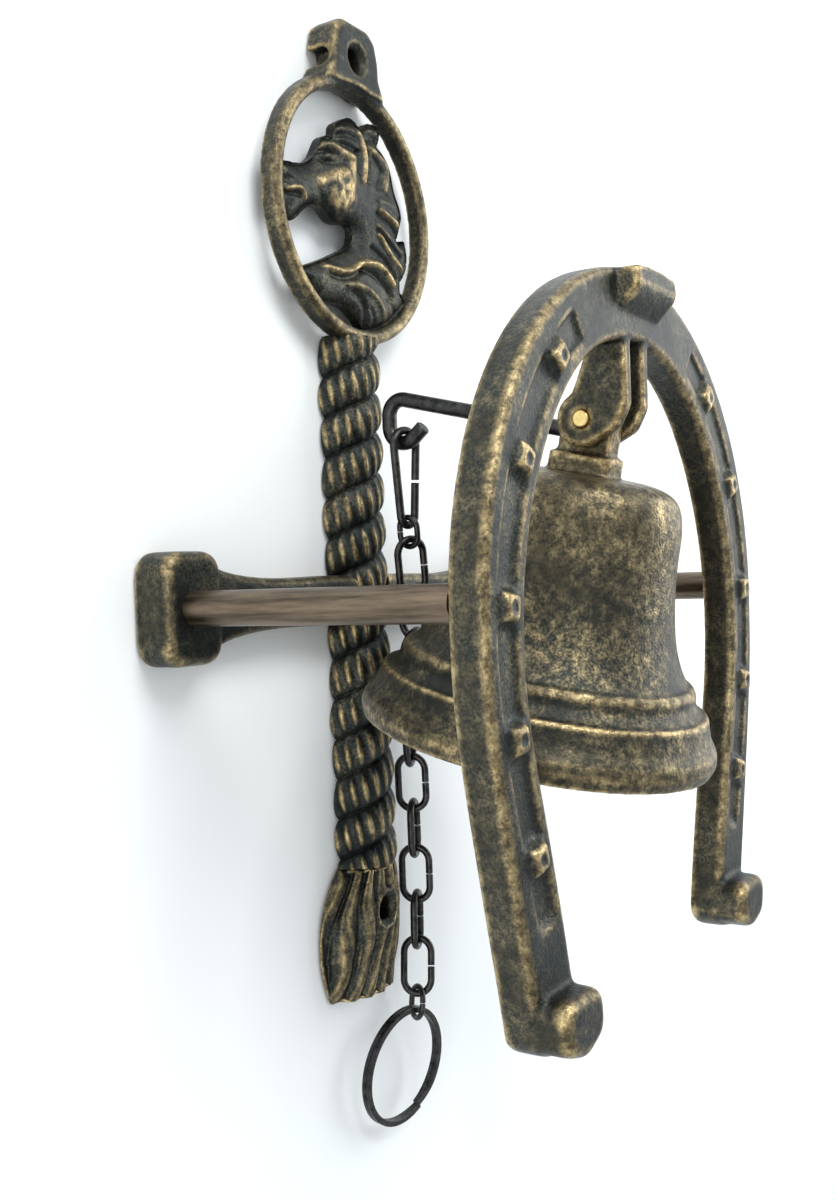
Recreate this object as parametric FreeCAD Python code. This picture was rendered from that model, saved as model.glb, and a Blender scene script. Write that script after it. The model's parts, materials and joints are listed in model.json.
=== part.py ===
import FreeCAD, Part
import math
import os

# Wall bell on a horseshoe bracket, with a rope-shaped back plate and a pull chain.
# The wall is the plane Y = 0, the bell stands out along -Y, Z is up and X = 0 is the middle plane.
# The two bracket rods lie at Z = 0.  All sizes are in millimetres.

V = FreeCAD.Vector

# Driving dimensions: back plate
RING_Z = 105.4
RING_OUTER = 36.0
RING_INNER = 31.9
RING_BACK = -3.0
RING_DEPTH = 8.4
TAB_DEPTH = 9.3
TAB_TOP = 155.6
TAB_HALF = 10.8
HOLE_TOP_Z = 146.0
HOLE_LOW_Z = -85.2
HOLE_RADIUS = 3.0
SINK_RADIUS = 4.6
ROPE_RADIUS = 10.9
ROPE_PITCH = 10.9
ROPE_RISE = 26.0
ROPE_BOTTOM = -73.0
TASSEL_BOTTOM = -108.5
HEAD_BACK = -3.0
HEAD_DEPTH = 3.8

# Driving dimensions: crossbar and rods
KNOB_END = 81.0
KNOB_INNER = 63.0
KNOB_HALF = 13.0
KNOB_DEPTH = 10.5
ARM_DEPTH = 8.6
ARM_WIDE = 7.8
ARM_NARROW = 5.8
ROD_X = 73.0
ROD_RADIUS = 4.0
SPIGOT_RADIUS = 2.5
SPIGOT_LENGTH = 5.0

# Driving dimensions: horseshoe
SHOE_FRONT = -87.9
SHOE_BACK = -78.9
SHOE_RADIUS = 77.5
SHOE_CENTRE_Z = -1.25
GROOVE_DEPTH = 1.2
GROOVE_HALF = 3.6
NAIL_BASE = 7.6
NAIL_TOP = 4.6
NAIL_PROUD = 1.9
TOE_HALF = 12.0
TOE_FRONT = -93.5
CALKIN_FRONT = -94.6
LUG_INNER = 3.35
LUG_OUTER = 7.05

# Driving dimensions: bell, pin, lever and clapper
PIN_Y = -75.2
PIN_Z = 41.8
PIN_RADIUS = 2.0
EYE_RADIUS = 6.8
FIT = 0.05
BELL_TILT = 13.5
NECK_HALF = 3.0
LEVER_RADIUS = 2.0
LEVER_ANGLE = 1.0
LEVER_START = 3.2
LEVER_DROP = 3.0
HOOK_BACK_Y = -15.5
HOOK_RADIUS = 4.6
CLAPPER_PIVOT = 21.6
CLAPPER_LENGTH = 46.0
BALL_RADIUS = 8.0
BALL_SOCKET = 2.0
STEM_RADIUS = 1.6
EYE_BEND = 2.6
EYE_WIRE = 0.9

# Driving dimensions: chain.  A turn is the way a link's flat side faces, from -Y towards +X.
LINK_WIRE = 1.0
LINK_HALF = 4.0
LINK_SPAN = 15.4
LINK_BUTT = 0.4
CHAIN_GAP = 0.2
CLIP_WIRE = 1.1
CLIP_SPAN = 25.3
CLIP_TOP_HALF = 4.1
CLIP_LOW_HALF = 2.6
CLIP_BUTT = 0.8
SMALL_WIRE = 0.8
SMALL_BUTT = 0.2
JUMP_SPAN = 7.9
JUMP_HALF = 2.9
CONNECTOR_SPAN = 8.6
CONNECTOR_HALF = 3.8
SPLIT_RADIUS = 15.8
SPLIT_HALF_HEIGHT = 1.3
SPLIT_HALF_DEPTH = 0.85


def save(name, shape):
    """Write one node and say what it holds."""
    bad = [s for s in shape.Solids if not s.isValid()]
    print(f"{name:16s} solids {len(shape.Solids)} volume {shape.Volume:10.1f} valid {not bad}")
    shape.exportStep(f"parts/{name}.step")


def face(edges):
    """A flat face inside a closed run of edges."""
    return Part.Face(Part.Wire(Part.sortEdges(edges)[0]))


def spline(points, start=None, end=None):
    """A smooth edge through points, with its directions at both ends where they are given."""
    curve = Part.BSplineCurve()
    if start is None:
        curve.interpolate(points)
    else:
        curve.interpolate(points, InitialTangent=start, FinalTangent=end)
    return curve.toShape()


def line(a, b):
    return Part.LineSegment(a, b).toShape()


def arc(a, b, c):
    return Part.Arc(a, b, c).toShape()


def xz(points, y=0.0):
    """Points of a drawing in a plane parallel to the wall."""
    return [V(x, y, z) for x, z in points]


def yz(points, x=0.0):
    """Points of a drawing in a plane square to the wall."""
    return [V(x, y, z) for y, z in points]


def polygon(points):
    return Part.Face(Part.makePolygon(list(points) + [points[0]]))


def prism(shape, depth):
    """Push a drawing out from the wall by depth."""
    return shape.extrude(V(0, -depth, 0))


def box(low, high):
    size = V(*high) - V(*low)
    return Part.makeBox(size.x, size.y, size.z, V(*low))


def rod(a, b, radius):
    """A round bar from point a to point b."""
    way = V(*b) - V(*a)
    return Part.makeCylinder(radius, way.Length, V(*a), way)


def both_sides(shape):
    """A shape and its mirror image across the middle plane, joined."""
    return shape.fuse(shape.mirror(V(0, 0, 0), V(1, 0, 0))).removeSplitter()


def tube(edges, radius):
    """A round wire of one radius along a path."""
    path = Part.Wire(edges)
    start = path.OrderedEdges[0]
    at = start.FirstParameter if start.Orientation == "Forward" else start.LastParameter
    ring = Part.Wire(Part.Circle(start.valueAt(at), start.tangentAt(at), radius).toShape())
    return path.makePipeShell([ring], True, False)


def screw_hole(z, depth):
    """A countersunk screw hole square to the wall."""
    shank = rod((0, 1, z), (0, -depth - 1, z), HOLE_RADIUS)
    sink = SINK_RADIUS - HOLE_RADIUS
    cone = Part.makeCone(HOLE_RADIUS, SINK_RADIUS + 1, sink + 1, V(0, -depth + sink, z), V(0, -1, 0))
    return shank.fuse(cone)


def filleted(shape, radius, wanted):
    """Round the edges for which wanted(edge) is true."""
    return shape.makeFillet(radius, [e for e in shape.Edges if wanted(e)])


def front_edges(y):
    """A test for edges that lie whole in the plane Y = y."""
    return lambda e: all(abs(v.Y - y) < 1e-4 for v in e.Vertexes) and abs(e.BoundBox.YLength) < 1e-3


# ---------------------------------------------------------------- back plate

def ring_disc(radius, depth=60.0):
    return rod((0, 20, RING_Z), (0, 20 - depth, RING_Z), radius)


def plate_ring():
    """The round frame with the screw tab on top of it."""
    middle = (RING_OUTER + RING_INNER) / 2
    crown = -RING_DEPTH + (RING_OUTER - RING_INNER) / 2
    profile = [
        line(V(RING_OUTER, RING_BACK, 0), V(RING_OUTER, crown, 0)),
        arc(V(RING_OUTER, crown, 0), V(middle, -RING_DEPTH, 0), V(RING_INNER, crown, 0)),
        line(V(RING_INNER, crown, 0), V(RING_INNER, RING_BACK, 0)),
        line(V(RING_INNER, RING_BACK, 0), V(RING_OUTER, RING_BACK, 0)),
    ]
    ring = face(profile).revolve(V(0, 0, 0), V(0, 1, 0), 360)
    ring.translate(V(0, 0, RING_Z))
    foot = RING_Z + RING_INNER + 1.0
    drawing = xz([
        (-TAB_HALF - 2.6, foot), (-TAB_HALF, foot + 5), (-TAB_HALF, foot + 9),
        (-TAB_HALF + 1.6, TAB_TOP - 2.4),
        (-TAB_HALF + 5, TAB_TOP), (TAB_HALF - 5, TAB_TOP), (TAB_HALF - 1.6, TAB_TOP - 2.4),
        (TAB_HALF, foot + 9), (TAB_HALF, foot + 5), (TAB_HALF + 2.6, foot),
    ])
    tab = prism(polygon(drawing), TAB_DEPTH)
    tab = filleted(tab, 2.0, lambda e: front_edges(-TAB_DEPTH)(e) and e.BoundBox.ZMax > foot + 0.5)
    slot = rod((-TAB_HALF - 4, -4.6, HOLE_TOP_Z - 1.4), (-6.6, -4.6, HOLE_TOP_Z - 1.4), 2.5)
    slot = slot.fuse(box((-TAB_HALF - 4, -4.6, HOLE_TOP_Z - 3.9), (-6.6, 1, HOLE_TOP_Z + 1.1)))
    tab = tab.cut(slot).cut(screw_hole(HOLE_TOP_Z, TAB_DEPTH)).cut(ring_disc(RING_INNER + 1.6))
    return ring.fuse(tab).removeSplitter()


def horse_head():
    """The horse's head and neck, a flat casting that fills part of the ring."""
    crest = xz([
        (-34, 111), (-28.5, 112), (-22.5, 113), (-17, 116.5), (-14.5, 120.5), (-11.5, 123), (-8, 124),
        (-7.5, 126.5), (-4.5, 129), (-1.5, 130.5), (2.5, 130), (4.5, 129), (7, 131), (10.5, 132),
        (13.5, 131.5), (13.5, 129), (11.5, 126),
    ])
    mane = xz([
        (11.5, 126), (15.5, 124.5), (18.5, 121), (20.5, 115), (22.5, 112), (23.5, 108.5), (20.5, 101.5),
        (24.5, 102.5), (25.5, 96), (22, 90.5), (22, 87), (24.5, 84), (27, 78),
    ])
    throat = xz([
        (-30, 84), (-22, 87), (-12, 91), (-5.5, 94), (-1, 97.5), (-1, 101), (-6, 101), (-10.5, 101),
        (-15, 103.5), (-20, 102.5), (-23, 100.5), (-26, 98), (-34, 98.5),
    ])
    base = xz([(27, 78), (22, 66), (4, 66), (2.5, 74)])
    chest = xz([(2.5, 74), (-0.5, 76.5), (-4.5, 78.5), (-9.5, 79), (-15.5, 78.5), (-26, 74)])
    edges = [spline(crest), spline(mane[:6]), Part.makePolygon(mane[5:8]).Edges[0]]
    edges.append(line(mane[6], mane[7]))
    edges += [spline(mane[7:10])] + [line(a, b) for a, b in zip(mane[9:-1], mane[10:])]
    edges += [line(a, b) for a, b in zip(base[:-1], base[1:])]
    edges += [spline(chest), line(chest[-1], throat[0]), spline(throat), line(throat[-1], crest[0])]
    head = prism(face(edges), HEAD_DEPTH)
    head.translate(V(0, HEAD_BACK, 0))
    return head.common(ring_disc(RING_INNER))


def rope_stem():
    """The half-round stem, scored with slanting grooves so that it looks like a twisted rope."""
    top = RING_Z - RING_OUTER + 4
    stem = rod((0, 0, ROPE_BOTTOM), (0, 0, top), ROPE_RADIUS)
    stem = stem.cut(box((-20, 0, ROPE_BOTTOM - 5), (20, 20, top + 5))).cut(ring_disc(RING_OUTER))
    tilt = math.radians(ROPE_RISE)
    way = V(-math.sin(tilt), 0, math.cos(tilt))
    count = int((top - ROPE_BOTTOM) / ROPE_PITCH)
    for n in range(count):
        z = ROPE_BOTTOM + ROPE_PITCH * (n + 0.6)
        stem = stem.cut(Part.makeTorus(ROPE_RADIUS + 1.9, 2.6, V(0, 0, z), way))
    return stem


def tassel():
    """The flared, unravelled end of the rope, with the lower screw hole."""
    sections = [(ROPE_BOTTOM, 10.6, 10.6, 10.4), (-80.0, 16.0, 14.4, 10.4), (-92.0, 19.4, 15.6, 9.8),
                (TASSEL_BOTTOM, 15.6, 12.0, 7.6)]
    wires = []
    for z, left, right, depth in sections:
        bow = arc(V(-left, -0.9, z), V(0, -depth, z), V(right, -0.9, z))
        wires.append(Part.Wire([
            line(V(-left, 0, z), V(-left, -0.9, z)), bow, line(V(right, -0.9, z), V(right, 0, z)),
            line(V(right, 0, z), V(-left, 0, z)),
        ]))
    body = Part.makeLoft(wires, True, False)
    notch = Part.makeCone(2.6, 0.4, 14, V(1.2, -9.4, TASSEL_BOTTOM - 1), V(0, 0, 1))
    return body.cut(notch).cut(screw_hole(HOLE_LOW_Z, 9.6))


def crossbar():
    """The arms that hold the rods off the wall, with a thick knob at each end."""
    knob = box((-KNOB_END, -KNOB_DEPTH, -KNOB_HALF), (-KNOB_INNER, 0, KNOB_HALF))
    knob = filleted(knob, 5.0, lambda e: abs(e.BoundBox.YLength - KNOB_DEPTH) < 1e-6)
    knob = filleted(knob, 2.6, front_edges(-KNOB_DEPTH))
    root = KNOB_INNER + 2
    upper = spline(xz([(-root, 11.0), (-root + 5, 8.7), (-root + 9, ARM_WIDE), (-ROPE_RADIUS - 14, 6.4),
                       (0, ARM_NARROW)]))
    lower = spline(xz([(-root, -11.0), (-root + 5, -8.7), (-root + 9, -ARM_WIDE), (-ROPE_RADIUS - 14, -6.4),
                       (0, -ARM_NARROW)]))
    ends = [line(V(-root, 0, -11), V(-root, 0, 11)), line(V(0, 0, ARM_NARROW), V(0, 0, -ARM_NARROW))]
    outline = [upper, lower] + ends
    arm = prism(face(outline), ARM_DEPTH)
    arm = filleted(arm, 2.2, lambda e: front_edges(-ARM_DEPTH)(e) and e.BoundBox.XLength > 30)
    arm = arm.common(box((-root, -20, -20), (-2, 1, 20)))
    side = knob.fuse(arm)
    bottom = -KNOB_DEPTH + SPIGOT_LENGTH + 0.4
    bore = rod((-ROD_X, -KNOB_DEPTH - 1, 0), (-ROD_X, bottom, 0), SPIGOT_RADIUS + FIT)
    side = side.cut(bore).removeSplitter()
    return side.fuse(side.mirror(V(0, 0, 0), V(1, 0, 0)))


def bracket_rod(side):
    """One round rod, with a thinner spigot at each end."""
    x = side * ROD_X
    bar = rod((x, -KNOB_DEPTH, 0), (x, SHOE_BACK, 0), ROD_RADIUS)
    bar = bar.fuse(rod((x, -KNOB_DEPTH + SPIGOT_LENGTH, 0), (x, SHOE_BACK - SPIGOT_LENGTH, 0), SPIGOT_RADIUS))
    return bar.removeSplitter()


# ---------------------------------------------------------------- horseshoe

def nail_line():
    """Centres of the nail heads on the right-hand branch, from the toe to the heel."""
    return [(44, 50.5), (61, 28), (69, -1), (67, -27), (60.5, -51.5)]


def shoe_outline():
    """Both edges of the shoe, from the toe to the heel, as one closed face."""
    top = SHOE_CENTRE_Z + SHOE_RADIUS
    toe = arc(V(-SHOE_RADIUS, 0, SHOE_CENTRE_Z), V(0, 0, top), V(SHOE_RADIUS, 0, SHOE_CENTRE_Z))
    outer = [(SHOE_RADIUS, SHOE_CENTRE_Z), (77, -17), (72.5, -42), (66.5, -67), (61, -90)]
    inner = [(0, 59.5), (26.5, 53), (48.5, 32.5), (60, 5), (60.5, -20), (54.5, -44), (48.5, -66), (43.5, -88)]
    mirrored = [(-x, z) for x, z in reversed(inner[1:])]
    edges = [toe, spline(xz(mirrored + inner))]
    for side in (1, -1):
        edges.append(spline([V(side * x, 0, z) for x, z in outer], V(0, 0, -1), V(-side * 0.22, 0, -0.97)))
        heel = [V(side * x, 0, z) for x, z in (outer[-1], (52.6, -93.6), inner[-1])]
        edges.append(arc(*heel))
    return face(edges)


def fuller():
    """The shallow groove that the nail heads stand in, on the right-hand branch."""
    middle = [(33.0, 58.5)] + nail_line() + [(56.0, -66.0)]
    left, right = [], []
    for n, (x, z) in enumerate(middle):
        before = middle[max(n - 1, 0)]
        after = middle[min(n + 1, len(middle) - 1)]
        way = V(after[0] - before[0], 0, after[1] - before[1]).normalize()
        left.append(V(x, SHOE_FRONT, z) + V(-way.z, 0, way.x) * GROOVE_HALF)
        right.append(V(x, SHOE_FRONT, z) - V(-way.z, 0, way.x) * GROOVE_HALF)
    edges = [spline(left), spline(right), line(left[0], right[0]), line(left[-1], right[-1])]
    band = face(edges).extrude(V(0, GROOVE_DEPTH, 0))
    return band.fuse(face(edges).extrude(V(0, -1, 0)))


def nail_head(n):
    """A four-sided nail head with a small hollow in its top."""
    places = [(33.0, 58.5)] + nail_line() + [(56.0, -66.0)]
    x, z = places[n + 1]
    way = V(places[n + 2][0] - places[n][0], 0, places[n + 2][1] - places[n][1])
    height = GROOVE_DEPTH + NAIL_PROUD
    squares = []
    for size, y in ((NAIL_BASE, 0.0), (NAIL_TOP, height)):
        s = size / 2
        corners = [V(-s, -y, -s), V(s, -y, -s), V(s, -y, s), V(-s, -y, s)]
        squares.append(Part.makePolygon(corners + corners[:1]))
    head = Part.makeLoft(squares, True, True)
    head = head.cut(Part.makeSphere(1.7, V(0, -height - 0.8, 0)))
    head.rotate(V(0, 0, 0), V(0, 1, 0), math.degrees(math.atan2(-way.z, way.x)))
    head.translate(V(x, SHOE_FRONT + GROOVE_DEPTH, z))
    return head


def calkin():
    """The block turned forward at the end of the right-hand branch."""
    outline = [(44.6, -80.0), (62.8, -80.0), (60.6, -91.0), (52.5, -93.4), (44.0, -90.0)]
    drawing = [V(x, SHOE_BACK - 4, z) for x, z in outline]
    block = polygon(drawing).extrude(V(0, CALKIN_FRONT - SHOE_BACK + 4, 0))
    block = filleted(block, 4.0, lambda e: abs(e.BoundBox.YLength - (SHOE_BACK - 4 - CALKIN_FRONT)) < 1e-6)
    return filleted(block, 2.6, front_edges(CALKIN_FRONT))


def toe_clip():
    """The flange turned forward at the middle of the toe."""
    top = SHOE_CENTRE_Z + SHOE_RADIUS
    profile = yz([(SHOE_FRONT + 3, 64.5), (SHOE_FRONT, 65.0), (TOE_FRONT + 1.4, 68.6), (TOE_FRONT, 71.0),
                  (TOE_FRONT + 0.6, top - 0.5), (SHOE_FRONT + 3, top - 0.5)], -TOE_HALF)
    clip = polygon(profile).extrude(V(2 * TOE_HALF, 0, 0))
    clip = clip.common(rod((0, -60, SHOE_CENTRE_Z), (0, -120, SHOE_CENTRE_Z), SHOE_RADIUS - 0.4))
    return filleted(clip, 1.4, lambda e: e.BoundBox.YMin < SHOE_FRONT - 1 and e.BoundBox.ZLength > 1)


def lug():
    """The right-hand hanger lug, from the shoe's inner edge back to the pin's eye."""
    plate = polygon(yz([(SHOE_FRONT + 0.8, 62.0), (SHOE_FRONT + 0.8, 44.0), (SHOE_FRONT + 3.6, 38.8),
                        (PIN_Y - 2, PIN_Z - EYE_RADIUS + 0.3), (PIN_Y + 3, PIN_Z + EYE_RADIUS - 1.6),
                        (SHOE_BACK + 0.5, 62.0)], LUG_INNER)).extrude(V(LUG_OUTER - LUG_INNER, 0, 0))
    thick = LUG_OUTER - LUG_INNER
    plate = filleted(plate, 2.6, lambda e: abs(e.BoundBox.XLength - thick) < 1e-6
                     and e.BoundBox.ZMax < 50 and e.BoundBox.YMax < SHOE_FRONT + 4)
    eye = rod((LUG_INNER, PIN_Y, PIN_Z), (LUG_OUTER, PIN_Y, PIN_Z), EYE_RADIUS)
    return plate.fuse(eye).cut(rod((0, PIN_Y, PIN_Z), (20, PIN_Y, PIN_Z), PIN_RADIUS + 0.01))


def horseshoe():
    """The horseshoe with its nails, calkins, toe clip and the two lugs that carry the bell."""
    thick = SHOE_BACK - SHOE_FRONT
    shoe = prism(shoe_outline(), thick)
    shoe.translate(V(0, SHOE_BACK, 0))
    shoe = filleted(shoe, 3.0, lambda e: abs(e.BoundBox.YLength - thick) < 1e-6 and e.BoundBox.ZMax < -50)
    shoe = filleted(shoe, 2.0, front_edges(SHOE_FRONT))
    shoe = filleted(shoe, 1.2, front_edges(SHOE_BACK))
    half = shoe.common(box((0, -120, -120), (120, 0, 120)))
    half = half.cut(fuller())
    for n in range(len(nail_line())):
        half = half.fuse(nail_head(n))
    half = half.fuse(calkin()).fuse(lug())
    bore = rod((ROD_X, SHOE_BACK + 1, 0), (ROD_X, SHOE_BACK - SPIGOT_LENGTH - 0.4, 0), SPIGOT_RADIUS + FIT)
    half = half.cut(bore)
    return both_sides(half).fuse(toe_clip()).removeSplitter()


# ---------------------------------------------------------------- bell and what it carries

def tilted(shape):
    """Turn a shape drawn under the pin, hanging straight down, to the bell's resting tilt."""
    shape.rotate(V(0, 0, 0), V(1, 0, 0), BELL_TILT)
    shape.translate(V(0, PIN_Y, PIN_Z))
    return shape


def bell():
    """The casting: a turned bell with raised bands, and the neck that the pin passes through."""
    def down(points):
        return [V(radius, 0, -below) for radius, below in points]

    shoulder = [(13.5, 13), (20, 14), (23.5, 16), (25.5, 20), (26.5, 30), (28, 42), (30.5, 52), (34.5, 59.5)]
    bands = [(36, 60), (37, 61.5), (37, 63.5), (39, 66), (41, 66.5), (41.5, 68.5), (42.5, 71.5),
             (44.5, 74.5), (45, 77), (44, 80), (40.4, 80.6)]
    inside = [(40.4, 80.6), (38.4, 72.0), (31.6, 61.0), (26.4, 52.0), (24.2, 42.0), (22.4, 30.0),
              (21.2, 22.0), (17.0, 17.4), (0, 16.6)]
    outline = [line(*down([(0, 13.0), shoulder[0]])), spline(down(shoulder))]
    outline += [line(a, b) for a, b in zip(down([shoulder[-1]] + bands[:-1]), down(bands))]
    outline += [spline(down(inside[:-1])), line(*down(inside[-2:]))]
    outline.append(line(V(0, 0, -inside[-1][1]), V(0, 0, -13.0)))
    body = face(outline).revolve(V(0, 0, 0), V(0, 0, 1), 360)
    tongue = box((-NECK_HALF, -7.0, -15.0), (NECK_HALF, 7.0, 0))
    tongue = tongue.fuse(rod((-NECK_HALF, 0, 0), (NECK_HALF, 0, 0), 6.2))
    block = box((-5.2, -8.4, -15.0), (5.2, 8.4, -8.2))
    block = filleted(block, 2.0, lambda e: e.BoundBox.ZLength > 5)
    neck = tongue.fuse(block).removeSplitter()
    body = body.fuse(neck).cut(rod((-20, 0, 0), (20, 0, 0), PIN_RADIUS + FIT))
    socket = Part.makeCylinder(LEVER_RADIUS, 20, V(0, LEVER_START, -LEVER_DROP), lever_way(0))
    body = body.cut(socket)
    body = body.cut(rod((0, 0, -12), (0, 0, -20), STEM_RADIUS))
    return tilted(body.removeSplitter())


def lever_way(tilt):
    """The way the lever points when the bell is tilted."""
    rise = math.radians(LEVER_ANGLE + tilt)
    return V(0, math.cos(rise), math.sin(rise))


def hook_path():
    """The lever's path: straight out of the neck, down, round the hook and up its tip."""
    ahead = lever_way(BELL_TILT)
    under = V(0, ahead.z, -ahead.y)
    bend = 4.0
    centre_y = HOOK_BACK_Y - bend
    begin_y = centre_y - bend * under.y
    foot = V(0, PIN_Y, PIN_Z) + tilted_way(V(0, LEVER_START, -LEVER_DROP))
    begin = foot + ahead * ((begin_y - foot.y) / ahead.y)
    centre = begin + under * bend
    half_turn = math.radians(90 - (90 + LEVER_ANGLE + BELL_TILT) / 2)
    middle = centre + V(0, math.cos(half_turn), math.sin(half_turn)) * bend
    down_a = centre + V(0, bend, 0)
    down_b = down_a - V(0, 0, 3.0)
    eye = down_b - V(0, HOOK_RADIUS, 0)
    end_turn = math.radians(-130)
    low = eye + V(0, math.cos(end_turn / 2), math.sin(end_turn / 2)) * HOOK_RADIUS
    end = eye + V(0, math.cos(end_turn), math.sin(end_turn)) * HOOK_RADIUS
    tip = end + V(0, math.sin(end_turn), -math.cos(end_turn)) * 4.2
    edges = [line(foot, begin), arc(begin, middle, down_a), line(down_a, down_b), arc(down_b, low, end),
             line(end, tip)]
    return edges, eye - V(0, 0, HOOK_RADIUS)


def tilted_way(point):
    """A point drawn under the pin, turned to the bell's resting tilt, from the pin."""
    return FreeCAD.Rotation(V(1, 0, 0), BELL_TILT).multVec(point)


def pull_lever():
    """The round wire lever that ends in the chain's hook."""
    edges, _ = hook_path()
    wire = tube(edges, LEVER_RADIUS)
    return filleted(wire, 0.5, lambda e: e.BoundBox.YMax < -20 and e.BoundBox.ZMax < 60
                    and e.Length < 2 * math.pi * LEVER_RADIUS + 0.1 and e.BoundBox.YMin > -32)


def pivot_pin():
    """The pin that the bell swings on, through both lugs."""
    end = LUG_OUTER + 0.5
    pin = rod((-end, PIN_Y, PIN_Z), (end, PIN_Y, PIN_Z), PIN_RADIUS)
    return filleted(pin, 0.4, lambda e: e.BoundBox.XLength < 1e-6)


def staple():
    """The eye under the crown that the clapper hangs from."""
    sink = -CLAPPER_PIVOT
    eye = Part.makeTorus(EYE_BEND, EYE_WIRE, V(0, 0, sink), V(0, 1, 0))
    stem = rod((0, 0, -13.4), (0, 0, sink + EYE_BEND), STEM_RADIUS).cut(eye)
    return tilted(eye.fuse(stem).removeSplitter())


def clapper_pivot():
    """The centre of the staple's wire at its lowest point."""
    return V(0, PIN_Y, PIN_Z) + tilted_way(V(0, 0, -CLAPPER_PIVOT - EYE_BEND))


def clapper_rod():
    """The clapper's shank, with an eye through the staple."""
    at = clapper_pivot()
    eye = Part.makeTorus(2.4, EYE_WIRE, at + V(0, 0, -0.4), V(1, 0, 0))
    shank = rod(at + V(0, 0, -2.8), at + V(0, 0, -CLAPPER_LENGTH + BALL_RADIUS - BALL_SOCKET), STEM_RADIUS)
    return eye.fuse(shank.cut(eye)).removeSplitter()


def clapper_ball():
    """The ball that strikes the bell."""
    at = clapper_pivot() + V(0, 0, -CLAPPER_LENGTH)
    ball = Part.makeSphere(BALL_RADIUS, at)
    return ball.cut(rod(at + V(0, 0, BALL_RADIUS - BALL_SOCKET), at + V(0, 0, BALL_RADIUS + 2), STEM_RADIUS))


# ---------------------------------------------------------------- chain

def loop(half_top, half_low, top, low, radius, gap):
    """A closed wire loop in the XZ plane: top and low are its wire's highest and lowest centre."""
    up = V(0, 0, top - half_top)
    dn = V(0, 0, low + half_low)
    span = up.z - dn.z
    lean = math.asin((half_top - half_low) / span)
    out = V(math.cos(lean), 0, -math.sin(lean))
    left = V(-out.x, 0, out.z)
    a, b = up + out * half_top, dn + out * half_low
    c, d = up + left * half_top, dn + left * half_low
    middle = (a + b) * 0.5
    half_gap = (a - b).normalize() * (gap / 2)
    edges = [line(middle - half_gap, b), arc(b, V(0, 0, low), d), line(d, c), arc(c, V(0, 0, top), a),
             line(a, middle + half_gap)]
    return tube(edges, radius)


def placed(shape, at, way, turn):
    """Hang a loop drawn in the XZ plane from a point, along a way, with its flat side turned."""
    down = V(*way).normalize()
    width = V(math.sin(math.radians(turn)), -math.cos(math.radians(turn)), 0)
    width = (width - down * width.dot(down)).normalize()
    normal = down.cross(width) * -1
    frame = FreeCAD.Matrix(
        width.x, normal.x, -down.x, at.x,
        width.y, normal.y, -down.y, at.y,
        width.z, normal.z, -down.z, at.z,
        0, 0, 0, 1,
    )
    shape.Placement = FreeCAD.Placement(frame)
    return shape, width


def chain_plan():
    """Each chain piece from the hook down.

    A row holds its name, the way it hangs, its turn, its wire's radius, its span, its two half-widths and its butt gap.
    """
    ways = [
        ("chain_link_01", (0.20, 0.06, -1), 65), ("chain_link_02", (0.34, 0.30, -1), 170),
        ("chain_link_03", (0.44, 0.50, -1), 275), ("chain_link_04", (0.24, 0.20, -1), 200),
        ("chain_link_05", (0.14, 0.04, -1), 110), ("chain_link_06", (0.03, 0, -1), 20),
        ("chain_link_07", (0.01, 0, -1), 110), ("chain_link_08", (0, 0, -1), 20),
        ("chain_link_09", (-0.03, 0, -1), 110), ("chain_link_10", (-0.22, -0.10, -1), 20),
    ]
    clip = (CLIP_WIRE, CLIP_SPAN, CLIP_TOP_HALF, CLIP_LOW_HALF, CLIP_BUTT)
    jump = (SMALL_WIRE, JUMP_SPAN, JUMP_HALF, JUMP_HALF, SMALL_BUTT)
    link = (LINK_WIRE, LINK_SPAN, LINK_HALF, LINK_HALF, LINK_BUTT)
    connector = (SMALL_WIRE, CONNECTOR_SPAN, CONNECTOR_HALF, CONNECTOR_HALF, SMALL_BUTT)
    plan = [("chain_clip", (0.06, 0.03, -1), 78) + clip, ("jump_ring", (0.16, 0.06, -1), 175) + jump]
    plan += [way + link for way in ways]
    plan.append(("ring_connector", (-0.24, -0.06, -1), -34) + connector)
    return plan


def chain():
    """Hang every chain piece from the one above it, and report where each one turns."""
    _, at = hook_path()
    above = LEVER_RADIUS
    hinge_axis = V(0, 1, 0)
    pieces = []
    for name, way, turn, wire, span, half_top, half_low, butt in chain_plan():
        top = above + wire + CHAIN_GAP
        low = top - span
        shape, width = placed(loop(half_top, half_low, top, low, wire, butt), at, way, turn)
        pieces.append((name, shape, V(at), V(hinge_axis)))
        at = at + V(*way).normalize() * -low
        above = wire
        hinge_axis = width
    return pieces, at, hinge_axis


def split_ring(at):
    """A flat ring for the hand, hung from the connector."""
    top = SMALL_WIRE + 4 * CHAIN_GAP + SPLIT_HALF_DEPTH
    down = V(-0.42, 0.14, -1).normalize()
    centre = at + down * (SPLIT_RADIUS - top)
    axis = V(-0.04, -1, 0)
    axis = (axis - down * axis.dot(down)).normalize()
    outer = SPLIT_RADIUS + SPLIT_HALF_DEPTH
    ring = Part.makeCylinder(outer, 2 * SPLIT_HALF_HEIGHT, V(0, 0, -SPLIT_HALF_HEIGHT))
    ring = ring.cut(Part.makeCylinder(SPLIT_RADIUS - SPLIT_HALF_DEPTH, 10, V(0, 0, -5)))
    ring = ring.makeFillet(0.4, ring.Edges)
    ring = ring.cut(Part.makeTorus(outer + 0.1, 0.3))
    ring.Placement = FreeCAD.Placement(centre, FreeCAD.Rotation(V(0, 0, 1), axis))
    return ring


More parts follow.
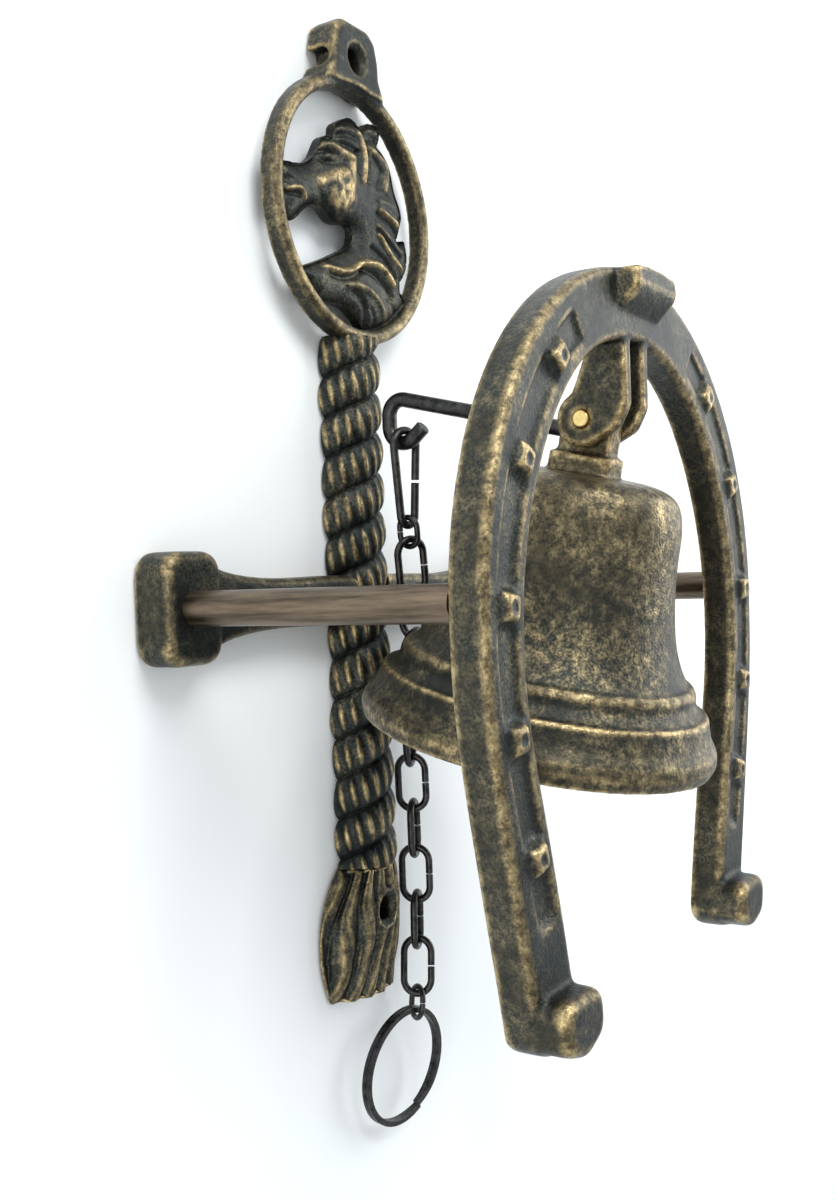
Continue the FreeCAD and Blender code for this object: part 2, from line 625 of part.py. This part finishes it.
def main():
    os.makedirs("parts", exist_ok=True)
    stem = rope_stem()
    end = tassel()
    bar = crossbar().cut(rod((0, 0, -40), (0, 0, 40), ROPE_RADIUS))
    save("plate_ring", plate_ring())
    save("horse_head", horse_head())
    save("rope_stem", stem)
    save("tassel", end)
    save("crossbar", bar)
    save("left_rod", bracket_rod(-1))
    save("right_rod", bracket_rod(1))
    save("horseshoe", horseshoe())
    save("pivot_pin", pivot_pin())
    save("bell", bell())
    save("pull_lever", pull_lever())
    save("clapper_staple", staple())
    save("clapper_rod", clapper_rod())
    save("clapper_ball", clapper_ball())
    at = clapper_pivot()
    print("clapper hinge", at, "axis X")
    pieces, end_at, end_axis = chain()
    for name, shape, at, axis in pieces:
        save(name, shape)
        print("   hinge", [round(c, 3) for c in at], "axis", [round(c, 4) for c in axis])
    save("split_ring", split_ring(end_at))
    print("   hinge", [round(c, 3) for c in end_at], "axis", [round(c, 4) for c in end_axis])


main()
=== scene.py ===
import bpy
import bmesh
import json
import math
import numpy as np
from mathutils import Matrix, Vector, kdtree, noise


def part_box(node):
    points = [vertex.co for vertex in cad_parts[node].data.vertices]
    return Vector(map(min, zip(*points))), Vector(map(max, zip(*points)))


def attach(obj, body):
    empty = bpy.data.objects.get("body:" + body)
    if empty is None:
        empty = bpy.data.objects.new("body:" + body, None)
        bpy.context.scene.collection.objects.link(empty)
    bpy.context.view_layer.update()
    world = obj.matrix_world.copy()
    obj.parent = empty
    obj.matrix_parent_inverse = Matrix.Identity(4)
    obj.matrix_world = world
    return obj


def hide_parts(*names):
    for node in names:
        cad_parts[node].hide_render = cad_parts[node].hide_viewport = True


# The looks of the wall bell.  Lengths are in metres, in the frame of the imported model:
# the wall is Y = 0, the bell stands out along -Y and Z is up.

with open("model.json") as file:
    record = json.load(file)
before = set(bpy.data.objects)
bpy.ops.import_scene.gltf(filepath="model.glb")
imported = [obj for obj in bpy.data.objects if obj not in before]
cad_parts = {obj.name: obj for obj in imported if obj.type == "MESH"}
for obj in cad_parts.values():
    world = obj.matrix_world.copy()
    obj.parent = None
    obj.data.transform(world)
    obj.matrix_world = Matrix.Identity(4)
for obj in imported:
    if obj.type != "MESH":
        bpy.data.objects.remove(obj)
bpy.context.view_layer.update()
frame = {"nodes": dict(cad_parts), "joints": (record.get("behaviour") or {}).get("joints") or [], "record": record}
MM = 0.001
scene = bpy.context.scene


# ---------- materials ----------

def shader(name):
    """A node material and its principled shader."""
    made = bpy.data.materials.new(name)
    made.use_nodes = True
    return made, made.node_tree, made.node_tree.nodes["Principled BSDF"]


def node(tree, kind, **inputs):
    """A new node with its named inputs set."""
    made = tree.nodes.new(kind)
    for key, value in inputs.items():
        made.inputs[key.replace("_", " ")].default_value = value
    return made


def spots(tree, scale, detail, low, high, stretch=None):
    """Noise in the object's own space, squeezed to 0..1 between two levels."""
    place = tree.nodes.new("ShaderNodeTexCoord")
    grain = node(tree, "ShaderNodeTexNoise", Scale=scale, Detail=detail, Roughness=0.62)
    source = place.outputs["Object"]
    if stretch:
        turn = tree.nodes.new("ShaderNodeMapping")
        turn.inputs["Scale"].default_value = stretch
        tree.links.new(source, turn.inputs["Vector"])
        source = turn.outputs["Vector"]
    tree.links.new(source, grain.inputs["Vector"])
    return ranged(tree, grain.outputs["Fac"], low, high)


def ranged(tree, source, low, high):
    """A value squeezed to 0..1 between two levels."""
    ramp = tree.nodes.new("ShaderNodeMapRange")
    ramp.inputs["From Min"].default_value = low
    ramp.inputs["From Max"].default_value = high
    tree.links.new(source, ramp.inputs["Value"])
    return ramp.outputs["Result"]


def maths(tree, operation, a, b):
    """The result of one sum on two values, either of which may be a socket."""
    made = tree.nodes.new("ShaderNodeMath")
    made.operation = operation
    made.use_clamp = operation != "SUBTRACT"
    for slot, value in zip(made.inputs, (a, b)):
        if isinstance(value, (int, float)):
            slot.default_value = value
        else:
            tree.links.new(value, slot)
    return made.outputs[0]


def blended(tree, amount, first, second):
    """One colour fading into another."""
    made = tree.nodes.new("ShaderNodeMix")
    made.data_type = "RGBA"
    tree.links.new(amount, made.inputs["Factor"])
    for slot, value in ((made.inputs[6], first), (made.inputs[7], second)):
        if isinstance(value, tuple):
            slot.default_value = value
        else:
            tree.links.new(value, slot)
    return made.outputs[2]


def bumped(tree, shade, height, strength, distance):
    """Fine relief from a height."""
    made = node(tree, "ShaderNodeBump", Strength=strength, Distance=distance)
    tree.links.new(height, made.inputs["Height"])
    tree.links.new(made.outputs["Normal"], shade.inputs["Normal"])


def bronze(name, rub=1.35, speckle=0.22, dark=(0.016, 0.021, 0.021, 1), light=(0.050, 0.060, 0.055, 1)):
    """Dark patina over brass, rubbed through on the high spots."""
    made, tree, shade = shader(name)
    worn = tree.nodes.new("ShaderNodeAttribute")
    worn.attribute_name = "worn"
    ragged = spots(tree, 420, 8, 0.36, 0.66)
    broad = spots(tree, 70, 4, 0.38, 0.62)
    fine = spots(tree, 1500, 4, 0.40, 0.62)
    rubbed = maths(tree, "MULTIPLY", worn.outputs["Fac"], rub)
    broken = maths(tree, "ADD", maths(tree, "MULTIPLY", ragged, 0.55), maths(tree, "MULTIPLY", fine, 0.45))
    rubbed = maths(tree, "MULTIPLY", rubbed, maths(tree, "ADD", broken, 0.30))
    sparse = maths(tree, "MULTIPLY", broken, broken)
    flecks = maths(tree, "MULTIPLY", sparse, maths(tree, "MULTIPLY", broad, speckle))
    bare = maths(tree, "ADD", rubbed, flecks)
    patina = blended(tree, maths(tree, "MULTIPLY", broad, fine), dark, light)
    brass = blended(tree, ragged, (0.24, 0.17, 0.075, 1), (0.60, 0.47, 0.24, 1))
    tree.links.new(blended(tree, bare, patina, brass), shade.inputs["Base Color"])
    shade.inputs["Metallic"].default_value = 0.85
    rough = tree.nodes.new("ShaderNodeMapRange")
    rough.inputs["To Min"].default_value = 0.40
    rough.inputs["To Max"].default_value = 0.27
    tree.links.new(bare, rough.inputs["Value"])
    tree.links.new(rough.outputs["Result"], shade.inputs["Roughness"])
    pitted = maths(tree, "ADD", maths(tree, "MULTIPLY", ragged, 0.6), maths(tree, "MULTIPLY", fine, 0.4))
    bumped(tree, shade, pitted, 0.35, 0.0004)
    return made


def wire_metal(name, colour, second, rough, stretch=(1, 1, 1)):
    """Plain drawn metal with a faint grain."""
    made, tree, shade = shader(name)
    grain = spots(tree, 500, 6, 0.35, 0.65, stretch)
    tree.links.new(blended(tree, grain, colour, second), shade.inputs["Base Color"])
    shade.inputs["Metallic"].default_value = 0.9
    level = tree.nodes.new("ShaderNodeMapRange")
    level.inputs["To Min"].default_value = rough
    level.inputs["To Max"].default_value = rough + 0.14
    tree.links.new(grain, level.inputs["Value"])
    tree.links.new(level.outputs["Result"], shade.inputs["Roughness"])
    bumped(tree, shade, grain, 0.2, 0.0002)
    return made


BRONZE = bronze("patina_bronze")
BELL_BRONZE = bronze("bell_bronze", 1.2, 0.75)
ROD_BRONZE = wire_metal("rod_bronze", (0.060, 0.047, 0.034, 1), (0.22, 0.165, 0.115, 1), 0.30, (1, 0.08, 1))
DARK_STEEL = wire_metal("dark_steel", (0.022, 0.023, 0.025, 1), (0.070, 0.068, 0.064, 1), 0.26)
BRIGHT_BRASS = wire_metal("bright_brass", (0.70, 0.50, 0.18, 1), (0.90, 0.70, 0.32, 1), 0.26)


# ---------- mesh tools ----------

def mesh_object(name, points, faces, smooth=True):
    """A mesh from points in metres, its faces turned outward."""
    data = bpy.data.meshes.new(name)
    data.from_pydata([tuple(p) for p in points], [], faces)
    work = bmesh.new()
    work.from_mesh(data)
    bmesh.ops.recalc_face_normals(work, faces=work.faces)
    work.to_mesh(data)
    work.free()
    for face in data.polygons:
        face.use_smooth = smooth
    made = bpy.data.objects.new(name, data)
    scene.collection.objects.link(made)
    return made


def applied(made):
    """The object with its modifiers made real."""
    bpy.context.view_layer.update()
    done = made.evaluated_get(bpy.context.evaluated_depsgraph_get())
    data = bpy.data.meshes.new_from_object(done)
    made.modifiers.clear()
    made.data = data
    return made


def remeshed(made, size):
    """The same shape in even little faces."""
    step = made.modifiers.new("even", "REMESH")
    step.mode = "VOXEL"
    step.voxel_size = size
    step.use_smooth_shade = True
    return applied(made)


def links_of(data):
    """Pairs of vertices that share an edge."""
    pairs = np.zeros(len(data.edges) * 2, np.int64)
    data.edges.foreach_get("vertices", pairs)
    return pairs.reshape(-1, 2)


def places(data):
    """The vertices' positions."""
    points = np.zeros(len(data.vertices) * 3)
    data.vertices.foreach_get("co", points)
    return points.reshape(-1, 3)


def relaxed(points, pairs, rounds):
    """Positions evened out with their neighbours."""
    count = np.zeros(len(points))
    np.add.at(count, pairs[:, 0], 1)
    np.add.at(count, pairs[:, 1], 1)
    count = np.maximum(count, 1)[:, None]
    for _ in range(rounds):
        total = np.zeros_like(points)
        for axis in range(3):
            total[:, axis] = (np.bincount(pairs[:, 0], points[pairs[:, 1], axis], len(points))
                              + np.bincount(pairs[:, 1], points[pairs[:, 0], axis], len(points)))
        points = points * 0.4 + 0.6 * total / count
    return points


def normals_of(data):
    """The vertices' normals."""
    found = np.zeros(len(data.vertices) * 3)
    data.vertex_normals.foreach_get("vector", found)
    return found.reshape(-1, 3)


def reshaped(made, points):
    """The same mesh with its vertices at other places."""
    made.data.vertices.foreach_set("co", points.ravel())
    made.data.update()
    return made


def softened(made, rounds):
    """A cast surface: corners eased without changing the size much."""
    return reshaped(made, relaxed(places(made.data), links_of(made.data), rounds))


def proudness(made, rounds):
    """How far each vertex stands proud of its surroundings, 1 on the sharpest edges."""
    points = places(made.data)
    even = relaxed(points, links_of(made.data), rounds)
    proud = np.einsum("ij,ij->i", points - even, normals_of(made.data))
    return proud / max(np.percentile(proud, 99), 1e-7)


def marked(made, level):
    """Stores how worn each vertex is, as the attribute that the bronze reads."""
    mark = made.data.attributes.new("worn", "FLOAT", "POINT")
    mark.data.foreach_set("value", np.clip(level, 0, 1).astype(np.float32))
    return made


def cast_copy(source, size, rounds=2):
    """A copy of one CAD node in even faces, its corners eased as on a casting."""
    origin = frame["nodes"][source]
    made = bpy.data.objects.new(source + "_cast", origin.data.copy())
    scene.collection.objects.link(made)
    made.data.materials.clear()
    remeshed(made, size)
    return softened(made, rounds)


def edge_wear(made):
    """Wear on edges and corners, from none on a slightly proud spot to full on a sharp one."""
    start, full = 0.25, 0.95
    return np.clip((proudness(made, 7) - start) / (full - start), 0, 1)


def rubbed(made):
    """Wear on every edge and corner of a casting, and a little on the sides that hands brush."""
    flank = 0.07
    return marked(made, edge_wear(made) + flank * normals_of(made.data)[:, 0] ** 2)


# How worn the bell is at each depth in millimetres below its pin.
BELL_DEPTHS = (12, 22, 34, 48, 60, 66, 72, 80)
BELL_WEAR = (0.24, 0.20, 0.12, 0.05, 0.02, 0.03, 0.10, 0.16)


def rubbed_bell(made):
    """Wear on the bell: its crown and its lip are barer than its waist."""
    joint = next(j for j in frame["joints"] if j["child"] == "bell")
    pin = np.array(joint["pos_m"])
    low = np.array(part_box("clapper_staple")).mean(0)
    down = (low - pin) / np.linalg.norm(low - pin)
    below = (places(made.data) - pin) @ down / MM
    return marked(made, edge_wear(made) + np.interp(below, BELL_DEPTHS, BELL_WEAR))


def finished(made, body, material, node_name):
    """Gives a piece its material and its body, and hides the CAD node that it stands for."""
    made.data.materials.clear()
    made.data.materials.append(material)
    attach(made, body)
    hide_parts(node_name)
    return made


# ---------- rope and tassel ----------

ROPE_RADIUS = 10.85
ROPE_LEAD = 21.8
ROPE_STRANDS = 2
ROPE_VALLEY = 2.7
ROPE_RIB = 0.55
ROPE_ROWS = 760
ROPE_STEPS = 150
TASSEL_STRANDS = 6.0
TASSEL_SINK = 2.1
SINK_EDGE = 4.9


def rope_radius(angle, z):
    """Radius of the twisted rope at an angle round from the front and a height, and how proud the spot is."""
    phase = (z - ROPE_LEAD * angle / (2 * math.pi)) / (ROPE_LEAD / ROPE_STRANDS)
    turn = math.floor(phase)
    strand = phase - turn
    crown = math.sqrt(max(0.0, 1 - (2 * strand - 1) ** 2))
    lay = angle * 3.1 + (strand - 0.5) * 0.55 + turn * 0.37
    fibre = 0.5 + 0.5 * math.cos(2 * math.pi * lay)
    rib = ROPE_RIB * (1 - fibre ** 1.4) * min(1.0, crown * 1.3)
    return ROPE_RADIUS - ROPE_VALLEY * (1 - crown) - rib, crown * (0.35 + 0.65 * fibre)


def rope_stem():
    """The half-round stem that looks like a two-strand rope."""
    low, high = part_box("rope_stem")
    bottom, top = low.z / MM, high.z / MM
    points, mark = [], []
    for row in range(ROPE_ROWS + 1):
        z = bottom + (top - bottom) * row / ROPE_ROWS
        for step in range(ROPE_STEPS + 1):
            angle = -math.pi / 2 + math.pi * step / ROPE_STEPS
            radius, high_spot = rope_radius(angle, z)
            points.append((radius * math.sin(angle) * MM, -radius * math.cos(angle) * MM, z * MM))
            mark.append(high_spot)
    width = ROPE_STEPS + 1
    faces = []
    for first in range(0, ROPE_ROWS * width, width):
        for a in range(first, first + ROPE_STEPS):
            faces.append((a, a + 1, a + 1 + width, a + width))
        last = first + ROPE_STEPS
        faces.append((last, first, first + width, last + width))
    faces.append(tuple(range(width)))
    faces.append(tuple(reversed(range(ROPE_ROWS * width, ROPE_ROWS * width + width))))
    made = mesh_object("rope_stem_cast", points, faces)
    marked(made, (np.array(mark) - 0.66) / 0.50)
    return finished(made, "bracket", BRONZE, "rope_stem")


def tassel():
    """The frayed end of the rope: wavy strands that fan out from the neck."""
    made = cast_copy("tassel", 0.0004)
    low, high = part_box("tassel")
    points, facing = places(made.data), normals_of(made.data)
    x, y, z = points.T / MM
    fall = np.clip((high.z / MM - z) / ((high.z - low.z) / MM), 0, 1)
    left = low.x / MM * np.clip(0.5 + 0.75 * fall, 0.5, 1)
    right = high.x / MM * np.clip(0.6 + 0.75 * fall, 0.6, 1)
    across = (x - left) / (right - left)
    wave = across * TASSEL_STRANDS + 0.30 * np.sin(fall * 5.4 + across * 5.0)
    strand = np.abs(np.sin(math.pi * wave)) ** 0.7
    hair = 0.5 + 0.5 * np.cos(2 * math.pi * (wave * 3.0 + 0.4 * np.sin(fall * 7.0)))
    screws = next(m for m in frame["record"]["mounts"] if m["name"] == "wall_screws")
    hole_z = screws["pos_m"][2] / MM - screws["dims"]["spacing_y_mm"] / 2
    far = np.clip((np.hypot(x, z - hole_z) - SINK_EDGE) / 1.6, 0, 1)
    front = np.clip(-facing[:, 1] * 2.5 + 0.2, 0, 1) * np.clip(-y / 1.5, 0, 1) * far
    sink = front * (TASSEL_SINK * (1 - strand) + 0.35 * (1 - hair))
    reshaped(made, points - facing * (sink * MM)[:, None])
    softened(made, 1)
    high_spots = (strand - 0.72) / 0.45 * (0.35 + 0.65 * hair) * np.clip(front + 0.1, 0, 1)
    marked(made, np.maximum(0.75 * high_spots, (proudness(made, 9) - 0.35) / 0.8))
    return finished(made, "bracket", BRONZE, "tassel")


# ---------- horse's head ----------

def near_line(x, z, line):
    """Distance from each place to a run of points."""
    best = np.full(len(x), 1e9)
    for (ax, az), (bx, bz) in zip(line[:-1], line[1:]):
        dx, dz = bx - ax, bz - az
        along = np.clip(((x - ax) * dx + (z - az) * dz) / (dx * dx + dz * dz), 0, 1)
        best = np.minimum(best, np.hypot(x - ax - along * dx, z - az - along * dz))
    return best


def bowed(start, end, bow):
    """A run of points from start to end, arched to the left of its way by bow."""
    (ax, az), (bx, bz) = start, end
    length = math.hypot(bx - ax, bz - az)
    line = []
    for step in range(7):
        along = step / 6
        aside = bow * math.sin(math.pi * along) / length
        line.append((ax + (bx - ax) * along - (bz - az) * aside, az + (bz - az) * along + (bx - ax) * aside))
    return line


# The horse's relief in millimetres: start, end (X, Z), bow, half-width, height, and how worn the line is.
# A line with a height below zero is a groove.
FACE_LINES = [
    ((-17, 118), (-8, 119), 2.3, 1.0, 0.95, 0.25),      # brow
    ((-16, 117.5), (-10, 118), 0.8, 0.55, -0.75, 0),    # upper lid
    ((-15, 115.5), (-6.5, 117), -0.7, 0.75, -0.85, 0),  # lower lid
    ((-10, 121.5), (-2.5, 119), -0.3, 1.1, 0.85, 0.9),  # forelock
    ((-17, 109.5), (-6, 114), 0.5, 1.3, 0.55, 0.85),    # cheekbone
    ((-17.5, 107.5), (-12.5, 103), 0, 1.0, -0.45, 0),   # jaw
    ((-2.5, 118.5), (-7, 105.5), 1.2, 1.5, 0.35, 1.0),  # cheek's back edge
    ((-30.5, 103.5), (-24.5, 104), 0, 0.6, -1.0, 0),    # mouth
    ((-29.5, 104.5), (-22.5, 103.5), 1.6, 0.6, 0.7, 0.75),  # lip
]
EAR_LINES = [
    ((-10, 122.5), (1, 121.5), 0, 0.7, -1.1, 0),        # crease under the near ear
    ((-8.5, 125), (-2, 127), 0.9, 1.4, 0.6, 0.1),       # near ear
    ((-6.5, 124.5), (-1, 125), 0.4, 0.8, -0.9, 0),
    ((4, 128.5), (10, 129.5), 0.3, 1.1, 0.6, 0.1),      # far ear
    ((5, 126), (11, 127), 0.6, 0.7, -0.8, 0),
]
MANE_LINES = [
    ((1.5, 127), (2, 114), 1.5, 1.0, 1.0, 0.95),        # lock that hangs behind the cheek
    ((0.5, 121.5), (0, 116), 0.4, 0.6, -0.7, 0),
    ((5, 122.5), (4.5, 114.5), 0, 0.8, -0.8, 0),
    ((6.5, 123.5), (12.5, 114), 5.3, 1.3, 0.85, 0.45),  # the first curl
    ((7.5, 122), (9, 114), 3.3, 0.8, -1.0, 0),
    ((9.5, 110), (18.5, 109), 0.8, 1.2, 0.55, 0.15),    # locks down the neck
    ((13, 112), (20, 110), 0.7, 0.8, -0.7, 0),
    ((10, 107.5), (19.5, 105.5), 0, 0.9, 1.0, 0.9),
    ((8.5, 106.5), (19, 103.5), 0, 0.7, -1.0, 0),
    ((8.5, 103), (20.5, 98.5), 0, 1.1, 0.65, 0.2),
    ((8, 102), (19.5, 96.5), 0, 0.6, -0.8, 0),
    ((9, 100.5), (21, 93), -1.0, 0.9, 0.95, 0.7),
    ((5.5, 96.5), (18, 90), 0.5, 0.8, -1.15, 0),
]
CHEST_LINES = [
    ((-14.5, 88), (0, 91), -1.8, 1.0, 1.15, 1.0),       # the wave over the chest
    ((0, 91), (15, 88), 2.6, 1.0, 1.15, 1.0),
    ((-13, 86), (1, 90), -1.8, 0.9, -1.25, 0),
    ((1, 90), (14.5, 84.5), 1.2, 0.9, -1.25, 0),
    ((-6, 84.5), (12, 78), 3.0, 1.1, 0.8, 0.3),         # folds under it
    ((-3.5, 83), (3.5, 74.5), 2.2, 0.9, -1.1, 0),
    ((4.5, 79.5), (8.5, 74), 0.3, 0.8, -0.7, 0),
    ((12.5, 83), (21, 80.5), -0.4, 0.8, -0.7, 0),
]
EYE = (-12.5, 117)
EYE_RADIUS = 1.1
SOCKET_RADIUS = 1.9
NOSTRIL = (-29.5, 107)
NOSTRIL_RADIUS = 0.9
CHEEK = (-7, 109)
CHEEK_RADIUS = 5.6
HEAD_SWELL = 1.6
RIM_DROP = 2.5


def horse_head():
    """The horse's head: the flat casting of the CAD part with its face, ears and mane raised on the front."""
    made = cast_copy("horse_head", 0.00035, 1)
    points, facing = places(made.data), normals_of(made.data)
    x, _, z = points.T / MM
    on_side = np.abs(facing[:, 1]) < 0.5
    rim = kd_tree(points[on_side][:, [0, 2]] / MM)
    front = facing[:, 1] < -0.3
    depth = np.array([rim.find((a, 0, b))[2] if f else 0.0 for a, b, f in zip(x, z, front)])
    height = HEAD_SWELL * (1 - np.exp(-depth / 4.0)) - RIM_DROP * np.exp(-depth / 1.5)
    rub = np.zeros(len(x))
    inner = np.clip(depth / 1.2, 0, 1)
    for start, end, bow, half, rise, wear in FACE_LINES + EAR_LINES + MANE_LINES + CHEST_LINES:
        shape = np.exp(-(near_line(x, z, bowed(start, end, bow)) / half) ** 2)
        height += rise * shape * inner
        rub = np.maximum(rub, wear * shape)
    eye = np.hypot(x - EYE[0], (z - EYE[1]) * 1.3)
    height += 0.9 * np.exp(-(eye / EYE_RADIUS) ** 2) - 0.7 * np.exp(-((eye - SOCKET_RADIUS) / 0.5) ** 2)
    height -= 1.2 * np.exp(-(np.hypot(x - NOSTRIL[0], z - NOSTRIL[1]) / NOSTRIL_RADIUS) ** 2)
    cheek = np.hypot(x - CHEEK[0], (z - CHEEK[1]) * 0.85)
    height += 1.1 * np.exp(-(cheek / CHEEK_RADIUS) ** 4)
    ragged = np.array([noise.noise(Vector((a * 0.45, b * 0.45, 3.0))) for a, b in zip(x, z)])
    rub = np.maximum(rub, np.exp(-(cheek / 6.0) ** 4) * np.clip(0.45 + 1.6 * ragged, 0, 1))
    points[:, 1] -= height * front * MM
    reshaped(made, points)
    softened(made, 1)
    marked(made, rub * front + 0.25 * (proudness(made, 6) - 0.5))
    return finished(made, "bracket", BRONZE, "horse_head")


def kd_tree(flat):
    """A search tree over places on the X-Z plane."""
    tree = kdtree.KDTree(len(flat))
    for index, (a, b) in enumerate(flat):
        tree.insert((a, 0, b), index)
    tree.balance()
    return tree


# ---------- split ring ----------

def split_ring():
    """A key ring: two turns of flat wire lying side by side."""
    source = places(frame["nodes"]["split_ring"].data)
    centre = (source.min(0) + source.max(0)) / 2
    for _ in range(3):
        spread = source - centre
        ways = np.linalg.svd(spread.T @ spread)[0]
        axis = ways[:, 2]
        flat = spread @ ways[:, :2]
        centre = centre + ways[:, :2] @ ((flat.min(0) + flat.max(0)) / 2)
    spread = source - centre
    far = np.linalg.norm(spread @ ways[:, :2], axis=1)
    outer, inner = far.max(), far.min()
    thick = np.ptp(spread @ axis)
    middle, half_wide = (outer + inner) / 2, (outer - inner) / 2 * 0.97
    half_thick = thick / 4 * 0.93
    down = Vector((0, 0, -1))
    axis = Vector(axis)
    if axis.y > 0:
        axis = -axis
    down = (down - axis * down.dot(axis)).normalized()
    side = axis.cross(down)
    corners = [(-1, -0.7), (-0.8, -1), (0.8, -1), (1, -0.7), (1, 0.7), (0.8, 1), (-0.8, 1), (-1, 0.7)]
    steps, start = 300, math.radians(28)
    cross_from, cross_for = 1.82 * math.pi, 0.36 * math.pi
    points, faces = [], []
    for step in range(steps + 1):
        turned = 4 * math.pi * step / steps
        ease = min(1.0, max(0.0, (turned - cross_from) / cross_for))
        ease = ease * ease * (3 - 2 * ease)
        lift = thick / 4 * (2 * ease - 1)
        angle = start + turned
        out = down * math.cos(angle) + side * math.sin(angle)
        for a, b in corners:
            points.append(Vector(centre) + out * (middle + a * half_wide) + axis * (lift + b * half_thick))
    count = len(corners)
    for step in range(steps):
        for k in range(count):
            a, b = step * count + k, step * count + (k + 1) % count
            faces.append((a, b, b + count, a + count))
    faces.append(tuple(range(count)))
    faces.append(tuple(reversed(range(steps * count, steps * count + count))))
    made = mesh_object("split_ring_coil", points, faces)
    made.data.set_sharp_from_angle(angle=math.radians(35))
    return finished(made, "split_ring", DARK_STEEL, "split_ring")


# ---------- all pieces ----------

rope_stem()
tassel()
horse_head()
split_ring()
# Castings of the bracket: the CAD node, the width of the even faces in metres, and the rounds of easing.
for source, size, rounds in (("horseshoe", 0.0006, 5), ("plate_ring", 0.0005, 3), ("crossbar", 0.0006, 3)):
    finished(rubbed(cast_copy(source, size, rounds)), "bracket", BRONZE, source)
finished(rubbed_bell(cast_copy("bell", 0.0006, 3)), "bell", BELL_BRONZE, "bell")

for members in frame["record"]["behaviour"]["bodies"].values():
    for member in members:
        piece = frame["nodes"][member]
        piece.data.materials.clear()
        if member in ("left_rod", "right_rod"):
            piece.data.materials.append(ROD_BRONZE)
        elif member == "pivot_pin":
            piece.data.materials.append(BRIGHT_BRASS)
        else:
            piece.data.materials.append(DARK_STEEL)


# ---------- wall, light and camera ----------

def wall():
    """A pale wall behind the bell that can't be seen from its back."""
    reach, back = 3.0, 0.0006
    corners = [(-reach, back, -reach), (reach, back, -reach), (reach, back, reach), (-reach, back, reach)]
    made = mesh_object("wall", corners, [(0, 1, 2, 3)], False)
    if made.data.polygons[0].normal.y > 0:
        made.data.flip_normals()
    paint, tree, shade = shader("wall_paint")
    shade.inputs["Base Color"].default_value = (0.90, 0.93, 0.94, 1)
    shade.inputs["Roughness"].default_value = 0.85
    side = tree.nodes.new("ShaderNodeNewGeometry")
    clear = tree.nodes.new("ShaderNodeBsdfTransparent")
    mix = tree.nodes.new("ShaderNodeMixShader")
    tree.links.new(side.outputs["Backfacing"], mix.inputs[0])
    tree.links.new(shade.outputs[0], mix.inputs[1])
    tree.links.new(clear.outputs[0], mix.inputs[2])
    tree.links.new(mix.outputs[0], tree.nodes["Material Output"].inputs["Surface"])
    made.data.materials.append(paint)


def softbox(name, place, aim, size, power, colour=(1, 1, 1)):
    """One rectangular area light."""
    lamp = bpy.data.lights.new(name, "AREA")
    lamp.shape = "RECTANGLE"
    lamp.size, lamp.size_y = size
    lamp.energy = power
    lamp.color = colour
    made = bpy.data.objects.new(name, lamp)
    scene.collection.objects.link(made)
    made.location = place
    made.rotation_euler = (Vector(aim) - Vector(place)).to_track_quat("-Z", "Y").to_euler()


CAMERA_PLACE = (-0.2804, -0.2042, 0.00555)
CAMERA_AZIMUTH = -57.07
CAMERA_PITCH = 1.09
CAMERA_ROLL = -2.0
LENS = 37.52


def camera():
    """The camera where the picture was taken from."""
    azimuth, pitch, roll = (math.radians(v) for v in (CAMERA_AZIMUTH, CAMERA_PITCH, CAMERA_ROLL))
    level = math.cos(pitch)
    back = Vector((math.sin(azimuth) * level, -math.cos(azimuth) * level, math.sin(pitch)))
    right = (-back).cross(Vector((0, 0, 1))).normalized()
    up = right.cross(-back).normalized()
    across = right * math.cos(roll) + up * math.sin(roll)
    upward = -right * math.sin(roll) + up * math.cos(roll)
    lens = bpy.data.cameras.new("camera")
    lens.lens = LENS
    lens.sensor_width = 36
    lens.clip_start = 0.005
    made = bpy.data.objects.new("camera", lens)
    scene.collection.objects.link(made)
    turn = Matrix((across, upward, back)).transposed().to_4x4()
    made.matrix_world = Matrix.Translation(CAMERA_PLACE) @ turn
    scene.camera = made


wall()
world = bpy.data.worlds.new("studio")
world.use_nodes = True
world.node_tree.nodes["Background"].inputs["Color"].default_value = (0.93, 0.97, 1.0, 1)
world.node_tree.nodes["Background"].inputs["Strength"].default_value = 0.75
scene.world = world
softbox("key", (-0.25, -0.75, 0.85), (0, -0.03, 0.02), (0.7, 0.5), 9)
softbox("side", (0.75, -0.55, 0.25), (0, -0.05, 0), (0.5, 0.7), 4)
softbox("left", (-0.8, -0.25, -0.15), (0, -0.05, 0), (0.3, 0.9), 2.5, (1.0, 0.96, 0.9))
camera()
scene.view_settings.view_transform = "Standard"
